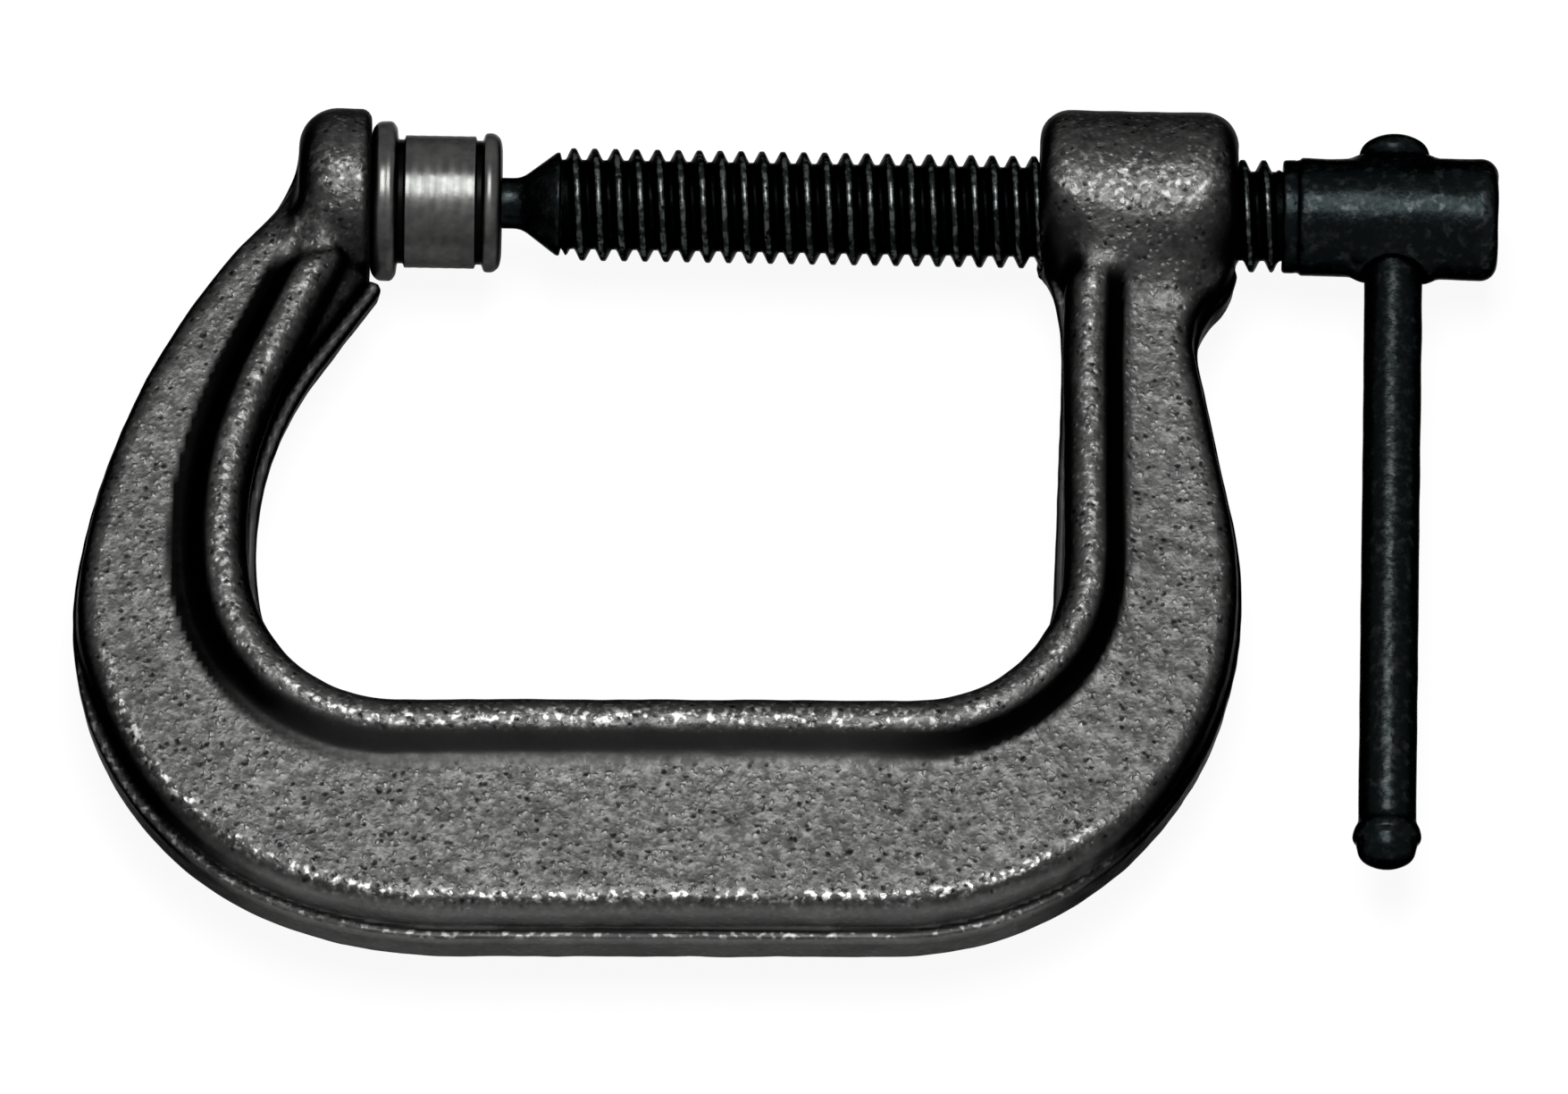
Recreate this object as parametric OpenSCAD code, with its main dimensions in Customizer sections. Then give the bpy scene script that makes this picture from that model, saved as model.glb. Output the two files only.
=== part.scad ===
// Forged C clamp: a drop-forged frame with a threaded nut boss, a screw spindle with a ball end,
// a swivel pad held on the ball and a sliding tommy-bar handle.
// The clamp lies flat. X runs along the screw from the anvil to the handle, Y points away from the
// back bar, Z is normal to the plane of the C and z = 0 is the parting plane of the forging.
// The origin is the centre of the anvil face, on the screw axis.

/* [Clamp] */
// Gap between the anvil face and the closed pad
closed_gap = 0.1; // [0.1:0.1:3]
// Distance from the anvil face to the near face of the nut boss
nut_x = 75.4; // [60:0.1:100]
// Throat depth from the screw axis to the inside of the back bar
throat = 63.6; // [55:0.1:80]

/* [Frame section] */
// Thickness of the web
web_t = 12; // [8:0.5:16]
// How far the lower half of the forging stands out past the upper half along its outline
ledge = 1.3; // [0:0.1:2]
// Radius of the bead along the inner edge
bead_r = 3.2; // [2:0.1:4]
// Distance of the bead's centre line from the inner edge
bead_in = 3.8; // [3.3:0.1:5]
// Height of the bead's centre line above the parting plane
bead_z = 5.2; // [3:0.1:6]

/* [Bosses] */
// Radius of the anvil boss
anvil_r = 10.4; // [8:0.1:13]
// Length of the anvil boss along the screw axis
anvil_l = 8.2; // [6:0.1:12]
// Radius of the nut boss
nut_r = 11.7; // [9:0.1:14]
// Length of the nut boss along the screw axis
nut_l = 22.7; // [16:0.1:30]

/* [Screw] */
// Outside diameter of the thread
screw_d = 12.7; // [12:0.1:13]
// Pitch of the thread
pitch = 2.36; // [2:0.01:3]
// Depth of the thread
thread_depth = 1.3; // [0.8:0.1:1.5]
// Clearance all round between the screw and its nut
thread_gap = 0.2; // [0.15:0.01:0.3]
// Length of the screw's head
head_l = 22.8; // [18:0.1:30]
// Radius of the head at its outer end
head_r = 6.95; // [6.6:0.05:8]

/* [Swivel pad] */
// Length of the pad from its face to its lip
pad_l = 14.7; // [12:0.1:18]
// Radius of the pad's flange
flange_r = 9.05; // [8.5:0.05:10]
// Radius of the pad's body
body_r = 7.5; // [7:0.1:8]
// Radius of the ball on the end of the screw
ball_r = 4.6; // [4:0.1:4.8]

/* [Handle] */
// Radius of the bar
bar_r = 3.27; // [2.8:0.01:3.4]
// Length of the handle over both upset ends
handle_l = 90; // [70:0.5:120]
// Radial clearance of the bar in the head
bar_gap = 0.18; // [0.1:0.01:0.3]

/* [Hidden] */
$fn = 96;

screw_r = screw_d / 2;
root_r = screw_r - thread_depth;
thread_sides = 20;
thread_x = 21.45;
neck_r = 2.87;
cone_r = 6;
cone_x = [17, 21.5];
head_x = 104.5;
head_back_r = 6.5;
head_round = 2.2;
bar_x = head_x + 11;
hole_r = bar_r + bar_gap;
ball_x = closed_gap + 9.2;
socket_gap = 0.15;
mouth_r = 3.9;

// Outlines of the C as moves of a pen: [length, 0] is a straight line and [radius, turn] is an arc,
// with the turn in degrees and positive to the left. The inner edge starts at the nut boss and the
// outer one at the anvil; both end inside the other boss.
inner_start = [nut_x + 0.7, -7.7, -70];
inner_moves = [
    [33, -21],
    [throat - 35.2, 0],
    [15.5, -88],
    [nut_x - 17.7, 0],
    [16, -82],
    [42, -43],
    [10.8, 0],
    [0.8, 64],
    [5, 0]
];
outer_start = [-7.9, 7, -97];
outer_moves = [
    [23.5, -32],
    [2.8, 0],
    [82, 31],
    [38, 8],
    [0.7, 0],
    [38, 72],
    [53, 19],
    [nut_x - 26.4, 0],
    [38, 41],
    [43, 48],
    [0.7, 0],
    [43, 2],
    [53, 10],
    [19.1, 0],
    [8.5, -56],
    [7, 44]
];
// The bead keeps to the inner edge and runs on straight into both bosses
bead_start = [nut_x + 2.15, -4.8, -91];
bead_moves = [
    [throat - 20.9, 0],
    [15.5, -88],
    [nut_x - 17.7, 0],
    [16, -82],
    [42, -34],
    [20.5, 0]
];

// State [x, y, heading] of the pen after one move
function moved(s, m) =
    m[1] == 0
        ? [s[0] + m[0] * cos(s[2]), s[1] + m[0] * sin(s[2]), s[2]]
        : let (r = m[0] * sign(m[1]), h = s[2] + m[1])
          [s[0] + r * (sin(h) - sin(s[2])), s[1] - r * (cos(h) - cos(s[2])), h];

// States of the pen before each move and after the last
function states(s, moves, i = 0) =
    i == len(moves) ? [s] : concat([s], states(moved(s, moves[i]), moves, i + 1));

// Points along all the moves, one every few degrees of an arc
function outline(start, moves, every = 5) =
    let (at = states(start, moves))
    concat(
        [for (i = [0:len(moves) - 1])
            let (m = moves[i], n = m[1] == 0 ? 1 : ceil(abs(m[1]) / every))
            for (k = [0:n - 1])
                let (p = m[1] == 0 ? at[i] : moved(at[i], [m[0], m[1] * k / n]))
                m[1] == 0 || k > 0 ? [p[0], p[1]] : [at[i][0], at[i][1]]],
        [[at[len(moves)][0], at[len(moves)][1]]]
    );

// Points of an arc about [x, y]
function arc(x, y, r, from, to, n = 4) =
    [for (i = [0:n]) let (a = from + (to - from) * i / n) [x + r * cos(a), y + r * sin(a)]];

// Turns a profile of [radius, x] points round the screw axis
module turned(profile) {
    rotate([0, 90, 0])
        rotate_extrude()
            polygon(profile);
}

// Plain cylinder along the screw axis
module rod(r, from, to) {
    translate([from, 0, 0])
        rotate([0, 90, 0])
            cylinder(r = r, h = to - from);
}

// A helical thread as one closed solid, from x0 over a number of turns. Each step round the helix
// has a root centred on x0 plus its share of the pitch, a flank, a crest and a flank; the crest
// grows over the first half turn and fades over the last. Its ends are fans from points on the axis.
module thread(x0, turns, root, crest, crest_w, flank_w) {
    n = thread_sides;
    steps = n * turns;
    half_root = (pitch - crest_w) / 2 - flank_w;
    along = [-half_root, half_root, half_root + flank_w, half_root + flank_w + crest_w];
    rise = n / 2;
    tip = half_root + 0.2;
    function height(k) = min(1, max(0.02, k / rise), max(0.02, (steps - k) / rise));
    function radius(j, k) = j < 2 ? root : root + (crest - root) * height(k);
    function point(k, j) =
        let (a = 360 * k / n)
        [x0 + pitch * k / n + along[j], radius(j, k) * cos(a), radius(j, k) * sin(a)];
    grid = [for (k = [0:steps]) for (j = [0:3]) point(k, j)];
    last_row = [for (k = [steps - n:steps])
        let (a = 360 * k / n)
        [x0 + pitch * (k / n + 1) - half_root, root * cos(a), root * sin(a)]];
    points = concat(
        grid,
        last_row,
        [[x0 - tip, 0, 0], [x0 + pitch * (turns + 1) + tip, 0, 0]]
    );
    first = 4 * (steps + 1);
    start_tip = first + n + 1;
    end_tip = start_tip + 1;
    // Index of a grid point; past the crest's flank comes the root of the next turn
    function at(k, j) =
        j < 4 ? 4 * k + j : k + n <= steps ? 4 * (k + n) : first + k - (steps - n);
    sides = [for (k = [0:steps - 1]) for (j = [0:3])
        for (t = [[at(k, j), at(k + 1, j + 1), at(k + 1, j)],
                  [at(k, j), at(k, j + 1), at(k + 1, j + 1)]]) t];
    start_fan = concat(
        [for (k = [0:n - 1]) [start_tip, at(k, 0), at(k + 1, 0)]],
        [for (j = [0:3]) [start_tip, at(0, j + 1), at(0, j)]]
    );
    end_fan = concat(
        [for (k = [steps - n:steps - 1]) [end_tip, at(k + 1, 4), at(k, 4)]],
        [for (j = [0:3]) [end_tip, at(steps, j), at(steps, j + 1)]]
    );
    polyhedron(points, concat(sides, start_fan, end_fan), convexity = 10);
}

// The bead's path set back into the metal by a distance
function set_back(by) =
    let (s = bead_start)
    outline(
        [s[0] - by * sin(s[2]), s[1] + by * cos(s[2]), s[2]],
        [for (m = bead_moves) m[1] == 0 ? m : [m[0] + by, m[1]]]
    );

// One step of the bead: a band between two distances from the inner edge, on both sides of the web
module bead_step(half_w, half_t) {
    near = set_back(bead_in - half_w);
    far = set_back(bead_in + half_w);
    n = len(near);
    translate([0, 0, -half_t])
        linear_extrude(2 * half_t)
            polygon(concat(near, [for (i = [1:n]) far[n - i]]));
}

module c_shape() {
    polygon(concat(
        outline(outer_start, outer_moves),
        outline(inner_start, inner_moves)
    ));
}

// The web, with the upper half set back from the lower one along the parting plane
module web() {
    translate([0, 0, -web_t / 2])
        linear_extrude(web_t / 2)
            c_shape();
    translate([0, 0, -1])
        linear_extrude(web_t / 2 + 1)
            offset(delta = -ledge)
                c_shape();
}

// The half-round bead that stands along the inner edge, as steps of a circle
module bead() {
    for (a = [20, 45, 68])
        bead_step(bead_r * cos(a), bead_z + bead_r * sin(a + 10));
}

module anvil_boss() {
    turned(concat(
        [[0, -anvil_l]],
        arc(anvil_r - 3.4, 3.4 - anvil_l, 3.4, -90, 0),
        arc(anvil_r - 1.2, -1.2, 1.2, 0, 90),
        [[0, 0]]
    ));
}

module nut_boss() {
    turned(concat(
        [[0, nut_x]],
        arc(nut_r - 2.5, nut_x + 2.5, 2.5, -90, 0),
        arc(nut_r - 3, nut_x + nut_l - 3, 3, 0, 90),
        [[0, nut_x + nut_l]]
    ));
}

module frame() {
    color("dimgray")
        difference() {
            union() {
                web();
                bead();
                anvil_boss();
                nut_boss();
            }
            thread(thread_x + 21 * pitch, 15, root_r + thread_gap, screw_r + thread_gap,
                   0.86 + 2 * thread_gap, 0.34);
        }
}

module spindle() {
    color("darkslategray")
        difference() {
            union() {
                translate([ball_x, 0, 0])
                    sphere(r = ball_r);
                rod(neck_r, ball_x, cone_x[0] + 0.1);
                turned([
                    [0, cone_x[0]],
                    [neck_r, cone_x[0]],
                    [cone_r, cone_x[1]],
                    [cone_r, cone_x[1] + 0.4],
                    [0, cone_x[1] + 0.4]
                ]);
                rod(root_r * cos(180 / thread_sides) - 0.05, cone_x[1], head_x + 1);
                thread(thread_x, 33, root_r, screw_r, 0.86, 0.34);
                turned(concat(
                    [[0, head_x - 0.6], [head_back_r - 0.6, head_x - 0.6],
                     [head_back_r, head_x]],
                    arc(head_r - head_round, head_x + head_l - head_round, head_round, 0, 90),
                    [[0, head_x + head_l]]
                ));
            }
            translate([bar_x, 0, 0])
                rotate([90, 0, 0])
                    cylinder(r = hole_r, h = 3 * head_r, center = true);
        }
}

module swivel_pad() {
    face = closed_gap;
    back = closed_gap + pad_l;
    color("silver")
        difference() {
            turned([
                [0, face],
                [flange_r - 0.8, face],
                [flange_r - 0.25, face + 0.3],
                [flange_r, face + 0.8],
                [flange_r, face + 2.2],
                [flange_r - 0.7, face + 2.8],
                [flange_r - 1, face + 3],
                [flange_r - 1, face + 3.5],
                [body_r + 0.1, face + 3.8],
                [body_r, back - 3],
                [body_r - 0.4, back - 2.8],
                [body_r - 0.4, back - 2.2],
                [body_r + 0.3, back - 1.9],
                [body_r + 0.4, back - 1],
                [body_r - 0.2, back],
                [0, back]
            ]);
            translate([ball_x, 0, 0])
                sphere(r = ball_r + socket_gap);
            rod(mouth_r, ball_x, back + 1);
        }
}

module handle() {
    top_y = 9.8;
    end_y = top_y - handle_l;
    color("darkslategray")
        translate([bar_x, 0, 0])
            rotate([-90, 0, 0])
                rotate_extrude()
                    polygon(concat(
                        [[0, end_y], [1.4, end_y + 0.15], [2.5, end_y + 0.7],
                         [3.2, end_y + 1.6], [3.45, end_y + 2.4], [3.8, end_y + 3],
                         [3.85, end_y + 3.5], [3.75, end_y + 3.9], [bar_r, end_y + 5.2]],
                        [[bar_r, top_y - 2.95], [3.9, top_y - 2.6], [4.07, top_y - 2.2],
                         [3.9, top_y - 1.3], [3.2, top_y - 0.6], [1.6, top_y - 0.1],
                         [0, top_y]]
                    ));
}

frame();
spindle();
swivel_pad();
handle();
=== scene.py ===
"""Looks of a drop-forged C clamp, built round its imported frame.

X runs along the screw from the anvil to the handle, Y points away from the back bar and Z is normal
to the plane of the C. The shape functions work in millimetres and the meshes are put down in metres.
"""

import logging
import math
from dataclasses import dataclass, field
from enum import Enum
from typing import Callable

import bpy
import numpy as np
from mathutils import Matrix, Vector


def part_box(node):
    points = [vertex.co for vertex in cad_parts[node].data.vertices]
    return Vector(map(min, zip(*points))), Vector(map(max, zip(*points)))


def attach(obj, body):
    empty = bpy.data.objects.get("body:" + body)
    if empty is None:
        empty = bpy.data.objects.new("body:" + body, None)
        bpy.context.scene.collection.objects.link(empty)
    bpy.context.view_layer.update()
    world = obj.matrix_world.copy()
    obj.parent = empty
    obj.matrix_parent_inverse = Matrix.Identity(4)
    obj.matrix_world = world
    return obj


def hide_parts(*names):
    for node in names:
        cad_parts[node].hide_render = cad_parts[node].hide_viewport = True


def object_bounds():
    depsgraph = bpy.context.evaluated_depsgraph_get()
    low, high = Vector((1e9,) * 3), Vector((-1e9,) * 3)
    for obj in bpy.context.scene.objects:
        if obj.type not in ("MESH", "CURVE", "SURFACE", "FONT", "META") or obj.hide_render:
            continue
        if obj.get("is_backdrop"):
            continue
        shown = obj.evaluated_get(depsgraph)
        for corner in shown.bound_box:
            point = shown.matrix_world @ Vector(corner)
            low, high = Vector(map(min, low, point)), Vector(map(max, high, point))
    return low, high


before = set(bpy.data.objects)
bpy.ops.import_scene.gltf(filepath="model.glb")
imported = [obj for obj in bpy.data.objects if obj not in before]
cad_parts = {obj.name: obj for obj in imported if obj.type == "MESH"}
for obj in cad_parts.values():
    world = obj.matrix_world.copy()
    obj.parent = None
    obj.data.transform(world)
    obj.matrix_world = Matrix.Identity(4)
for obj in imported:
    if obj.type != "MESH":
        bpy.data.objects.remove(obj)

log = logging.getLogger("c_clamp")

Array = np.ndarray
Field = Callable[[Array, Array, Array], Array]

MM = 0.001


# ---------------------------------------------------------------- shape tools


def soft_step(low: float, high: float, value: Array) -> Array:
    """Rises smoothly from 0 at low to 1 at high."""
    t = np.clip((value - low) / (high - low), 0.0, 1.0)
    return t * t * (3.0 - 2.0 * t)


def bell(value: Array, middle: float, width: float) -> Array:
    """1 at the middle, falling off to both sides as a bell curve of the width."""
    return np.exp(-((value - middle) / width) ** 2)


def mixed(one: Array, other: float | Array, amount: Array) -> Array:
    """From one at an amount of 0 to the other at 1."""
    return one * (1.0 - amount) + other * amount


def join(one: Array, other: Array, blend: float | Array) -> Array:
    """The union of two fields, with a fillet about as large as blend where they meet."""
    near = np.maximum(blend - np.abs(one - other), 0.0) / blend
    return np.minimum(one, other) - near * near * blend / 4.0


def meet(one: Array, other: Array, blend: float | Array) -> Array:
    """The intersection of two fields, with its edge rounded by about blend."""
    return -join(-one, -other, blend)


def round_meet(one: Array, other: Array, radius: float | Array) -> Array:
    """The intersection of two fields at right angles, with its edge an arc of the radius."""
    a, b = one + radius, other + radius
    return np.hypot(np.maximum(a, 0.0), np.maximum(b, 0.0)) + np.minimum(np.maximum(a, b), 0.0) - radius


def rounded_rod(x: Array, r: Array, ends: tuple[float, float], radius: float,
                rims: tuple[float | Array, float | Array]) -> Array:
    """Distance to a rod along X whose two rims are rounded.

    Args:
        x: Distance along the rod's axis.
        r: Distance from the rod's axis.
        ends: Where the rod starts and ends.
        radius: Its radius.
        rims: Rounding radius of the rim at its start and at its end.

    Returns:
        The distance, negative inside: the rod is a box in x and r, shrunk by its rim radius and
        grown again, so that its corners come out as arcs.
    """
    middle = (ends[0] + ends[1]) / 2.0
    rim = np.where(x < middle, rims[0], rims[1])
    past_end = np.abs(x - middle) - (ends[1] - ends[0]) / 2.0 + rim
    past_side = r - radius + rim
    outside = np.hypot(np.maximum(past_end, 0.0), np.maximum(past_side, 0.0))
    return outside + np.minimum(np.maximum(past_end, past_side), 0.0) - rim


def ripples(x: Array, y: Array, z: Array, wavelength: float, waves: int, seed: int) -> Array:
    """A gentle unevenness of about unit height: a sum of plane waves in fixed directions."""
    rng = np.random.default_rng(seed)
    direction = rng.normal(size=(waves, 3))
    direction /= np.linalg.norm(direction, axis=1)[:, None]
    number = 2.0 * math.pi / (wavelength * rng.uniform(0.7, 1.4, waves))
    phase = rng.uniform(0.0, 2.0 * math.pi, waves)
    total = np.zeros(np.broadcast(x, y, z).shape)
    for (a, b, c), k, p in zip(direction, number, phase):
        total = total + np.sin(k * (a * x + b * y + c * z) + p)
    return total / math.sqrt(waves / 2.0)


@dataclass(frozen=True)
class PenPath:
    """A smooth path drawn by a pen: (length, 0) is a line and (radius, turn) an arc.

    Turns are in degrees and positive to the left.
    """

    start: tuple[float, float, float]
    moves: tuple[tuple[float, float], ...]

    def distance(self, x: Array, y: Array) -> tuple[Array, Array]:
        """Distance of points from the path.

        Each move gives its own distance, from its infinite line or whole circle between its two
        ends and from the nearer end beyond them. The nearest move's is kept.

        Args:
            x: The points' first coordinate.
            y: Their second.

        Returns:
            The distance, positive to the left of the path, and how far along the path the nearest
            point lies.
        """
        best = np.full(np.broadcast(x, y).shape, np.inf)
        side, along = np.zeros_like(best), np.zeros_like(best)
        px, py, heading, run = *self.start[:2], math.radians(self.start[2]), 0.0
        for size, turn in self.moves:
            if turn == 0:
                length = size
                forward = (x - px) * math.cos(heading) + (y - py) * math.sin(heading)
                left = (y - py) * math.cos(heading) - (x - px) * math.sin(heading)
                at = np.clip(forward, 0.0, length)
                away = np.hypot(forward - at, left)
                px, py = px + size * math.cos(heading), py + size * math.sin(heading)
            else:
                way, angle = math.copysign(1.0, turn), math.radians(abs(turn))
                length = size * angle
                cx, cy = px - way * size * math.sin(heading), py + way * size * math.cos(heading)
                out = np.hypot(x - cx, y - cy)
                first = heading - way * math.pi / 2.0
                swept = way * (np.arctan2(y - cy, x - cx) - first)
                swept = (swept - angle / 2.0 + math.pi) % (2.0 * math.pi) - math.pi + angle / 2.0
                held = np.clip(swept, 0.0, angle)
                away = np.sqrt((out - size) ** 2 + 4.0 * out * size * np.sin((swept - held) / 2.0) ** 2)
                left, at = way * (size - out), held * size
                heading += way * angle
                px, py = cx + way * size * math.sin(heading), cy - way * size * math.cos(heading)
            nearer = away < best
            best = np.where(nearer, away, best)
            side = np.where(nearer, np.sign(left), side)
            along = np.where(nearer, run + at, along)
            run += length
        return side * best, along


@dataclass
class Surface:
    """A closed mesh in the making: points in millimetres, quads or triangles, values per point."""

    points: Array
    faces: Array
    values: dict[str, Array] = field(default_factory=dict)

    def joined(self, other: "Surface") -> "Surface":
        """This surface and another as one mesh."""
        width = max(self.faces.shape[1], other.faces.shape[1])
        parts = [np.pad(f, ((0, 0), (0, width - f.shape[1])), mode="edge")
                 for f in (self.faces, other.faces + len(self.points))]
        values = {k: np.concatenate([v, other.values.get(k, np.zeros(len(other.points)))])
                  for k, v in self.values.items()}
        return Surface(np.concatenate([self.points, other.points]), np.concatenate(parts), values)

    def welded(self) -> "Surface":
        """This surface with coincident points made one and collapsed faces taken out."""
        keys = np.round(self.points * 1e5).astype(np.int64)
        _, first, inverse = np.unique(keys, axis=0, return_index=True, return_inverse=True)
        faces = inverse.reshape(-1)[self.faces]
        turned = np.roll(faces, -1, axis=1)
        repeats = (faces == turned).sum(axis=1)
        quads = faces[repeats == 0]
        thin = repeats == 1
        kept = faces[thin][faces[thin] != turned[thin]].reshape(-1, faces.shape[1] - 1)
        kept = np.pad(kept, ((0, 0), (0, 1)), mode="edge")
        values = {k: v[first] for k, v in self.values.items()}
        return Surface(self.points[first], np.concatenate([quads, kept]), values)

    def piece(self, name: str, material: bpy.types.Material) -> bpy.types.Object:
        """Puts the surface into a Blender mesh.

        Args:
            name: The piece's name.
            material: Its finish.

        Returns:
            The object, at the origin, smooth shaded, with each of the values as an attribute.
        """
        mesh = bpy.data.meshes.new(name)
        width = self.faces.shape[1]
        thin = self.faces[:, -1] == self.faces[:, -2]
        counts = np.where(thin, width - 1, width)
        used = np.ones(self.faces.shape, bool)
        used[thin, -1] = False
        corners = self.faces[used]
        mesh.vertices.add(len(self.points))
        mesh.vertices.foreach_set("co", (self.points * MM).astype(np.float32).ravel())
        mesh.loops.add(len(corners))
        mesh.loops.foreach_set("vertex_index", corners.astype(np.int32))
        mesh.polygons.add(len(counts))
        starts = np.concatenate([[0], np.cumsum(counts)[:-1]])
        mesh.polygons.foreach_set("loop_start", starts.astype(np.int32))
        mesh.polygons.foreach_set("use_smooth", np.ones(len(counts), bool))
        mesh.update(calc_edges=True)
        mesh.validate()
        for key, value in self.values.items():
            layer = mesh.attributes.new(key, "FLOAT", "POINT")
            layer.data.foreach_set("value", value.astype(np.float32))
        mesh.materials.append(material)
        return shown(name, mesh)


def shown(name: str, data: bpy.types.ID) -> bpy.types.Object:
    """A new object that holds the data, put into the scene."""
    made = bpy.data.objects.new(name, data)
    bpy.context.scene.collection.objects.link(made)
    return made


def contour(shape: Field, axes: tuple[Array, Array, Array], rounds: int = 3) -> Surface:
    """The closed surface on which a field is nought.

    Each cell of the grid that the surface crosses gets one point, at the mean of where it crosses
    the cell's edges, and each crossed edge gets a quad between its four cells. The points are then
    evened out and moved down the field's slope onto the surface.

    Args:
        shape: The field, negative inside.
        axes: The grid's levels along X, Y and Z. They reach past the surface on every side.
        rounds: How often the points are evened out and moved back.

    Returns:
        The surface, with its quads facing outwards.
    """
    grid = np.meshgrid(*axes, indexing="ij", sparse=True)
    level = shape(*grid)
    inside = level < 0.0
    cells = tuple(n - 1 for n in level.shape)
    total, count = np.zeros(cells + (3,)), np.zeros(cells, np.int16)
    crossings = []
    for axis in range(3):
        here = [slice(None)] * 3
        there = [slice(None)] * 3
        here[axis], there[axis] = slice(None, -1), slice(1, None)
        here, there = tuple(here), tuple(there)
        at = np.nonzero(inside[here] != inside[there])
        low, high = level[here][at], level[there][at]
        where = np.stack([axes[k][at[k]] for k in range(3)], axis=1)
        step = np.diff(axes[axis])[at[axis]]
        where[:, axis] += step * low / (low - high)
        others = [k for k in range(3) if k != axis]
        around = []
        for a, b in ((-1, -1), (0, -1), (0, 0), (-1, 0)):
            cell = [at[0].copy(), at[1].copy(), at[2].copy()]
            cell[others[0]] += a
            cell[others[1]] += b
            np.add.at(total, tuple(cell), where)
            np.add.at(count, tuple(cell), 1)
            around.append(np.ravel_multi_index(cell, cells))
        quads = np.stack(around, axis=1)
        flip = (low < 0.0) == (axis == 1)
        quads[flip] = quads[flip][:, ::-1]
        crossings.append(quads)
    used = np.nonzero(count.ravel())[0]
    number = np.zeros(count.size, np.int64)
    number[used] = np.arange(len(used))
    faces = number[np.concatenate(crossings)]
    points = total.reshape(-1, 3)[used] / count.ravel()[used, None]
    edges = np.unique(np.sort(np.stack([faces, np.roll(faces, -1, 1)], -1).reshape(-1, 2), 1), axis=0)
    ends = np.concatenate([edges, edges[:, ::-1]])
    sharing = np.bincount(ends[:, 0], minlength=len(points))[:, None]
    for _ in range(rounds):
        mean = np.stack([np.bincount(ends[:, 0], points[ends[:, 1], k], len(points))
                         for k in range(3)], axis=1) / sharing
        points = settle(shape, points + 0.5 * (mean - points))
    return Surface(settle(shape, points, passes=2), faces)


def slope(shape: Field, points: Array, reach: float = 0.02) -> tuple[Array, Array]:
    """A field's value at points, and its slope there from the points a small reach away."""
    x, y, z = points.T
    value = shape(x, y, z)
    rise = [shape(x + reach, y, z), shape(x, y + reach, z), shape(x, y, z + reach)]
    return value, (np.stack(rise, axis=1) - value[:, None]) / reach


def settle(shape: Field, points: Array, passes: int = 1, furthest: float = 0.3) -> Array:
    """Moves points down a field's slope onto its surface, no further than a limit each pass."""
    for _ in range(passes):
        value, rise = slope(shape, points)
        steep = np.maximum((rise ** 2).sum(axis=1), 0.05)
        points = points - rise * np.clip(value / steep, -furthest, furthest)[:, None]
    return points


def revolved(profile: Array, axis: "Axis", sides: int = 128) -> Surface:
    """A profile turned round an axis.

    Args:
        profile: Points (distance along the axis, radius). It is closed, or both its ends lie on
            the axis, and it runs so that the outside is on its left.
        axis: The axis that it is turned round.
        sides: How many steps go round.

    Returns:
        The surface, closed: the point (s, r) becomes a circle of radius r at s along the axis.
    """
    angle = np.linspace(0.0, 2.0 * math.pi, sides, endpoint=False)
    along, radius = profile[:, 0][:, None], profile[:, 1][:, None]
    points = axis.place(along + 0 * angle, radius * np.cos(angle), radius * np.sin(angle))
    rows = len(profile)
    row, step = np.meshgrid(np.arange(rows - 1), np.arange(sides), indexing="ij")
    after = (step + 1) % sides
    faces = np.stack([row * sides + step, row * sides + after,
                      (row + 1) * sides + after, (row + 1) * sides + step], axis=-1)
    return Surface(points.reshape(-1, 3), faces.reshape(-1, 4)).welded()


def smoothed(corners: list[tuple[float, float, float]], steps: int = 5) -> Array:
    """A profile through corners, with each corner rounded.

    Args:
        corners: Points (distance along the axis, radius of the profile, rounding radius).
        steps: How many points round each corner.

    Returns:
        The profile's points: each rounding is the parabola that touches both sides of its corner.
    """
    data = np.array(corners)
    made = [data[0, :2]]
    for before, here, after in zip(data[:-2], data[1:-1], data[2:]):
        back, on = before[:2] - here[:2], after[:2] - here[:2]
        reach = min(here[2], 0.45 * np.linalg.norm(back), 0.45 * np.linalg.norm(on))
        if reach == 0:
            made.append(here[:2])
            continue
        one = here[:2] + back / np.linalg.norm(back) * reach
        two = here[:2] + on / np.linalg.norm(on) * reach
        for t in np.linspace(0.0, 1.0, steps):
            made.append((1 - t) ** 2 * one + 2 * t * (1 - t) * here[:2] + t * t * two)
    made.append(data[-1, :2])
    return np.array(made)


class Axis(Enum):
    """Which line a piece is turned round."""

    SCREW = "the screw's axis, along X"
    BAR = "the handle's axis, along Y"

    def place(self, along: Array, across: Array, up: Array) -> Array:
        """Points in the clamp's frame, from places along, across and above the axis."""
        first, second = (along, across) if self is Axis.SCREW else (-across, along)
        return np.stack(np.broadcast_arrays(first, second, up), axis=-1)


# ------------------------------------------------------------------- finishes


def add_node(tree: bpy.types.NodeTree, kind: str, inputs: dict | None = None,
             **settings) -> bpy.types.Node:
    """Adds a node to a tree.

    Args:
        tree: The tree.
        kind: The node's type.
        inputs: Values or sockets for its inputs, by name or number.
        **settings: Its own settings.

    Returns:
        The node.
    """
    made = tree.nodes.new(kind)
    for key, value in settings.items():
        setattr(made, key, value)
    for key, value in (inputs or {}).items():
        if isinstance(value, bpy.types.NodeSocket):
            tree.links.new(value, made.inputs[key])
        else:
            made.inputs[key].default_value = value
    return made


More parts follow.
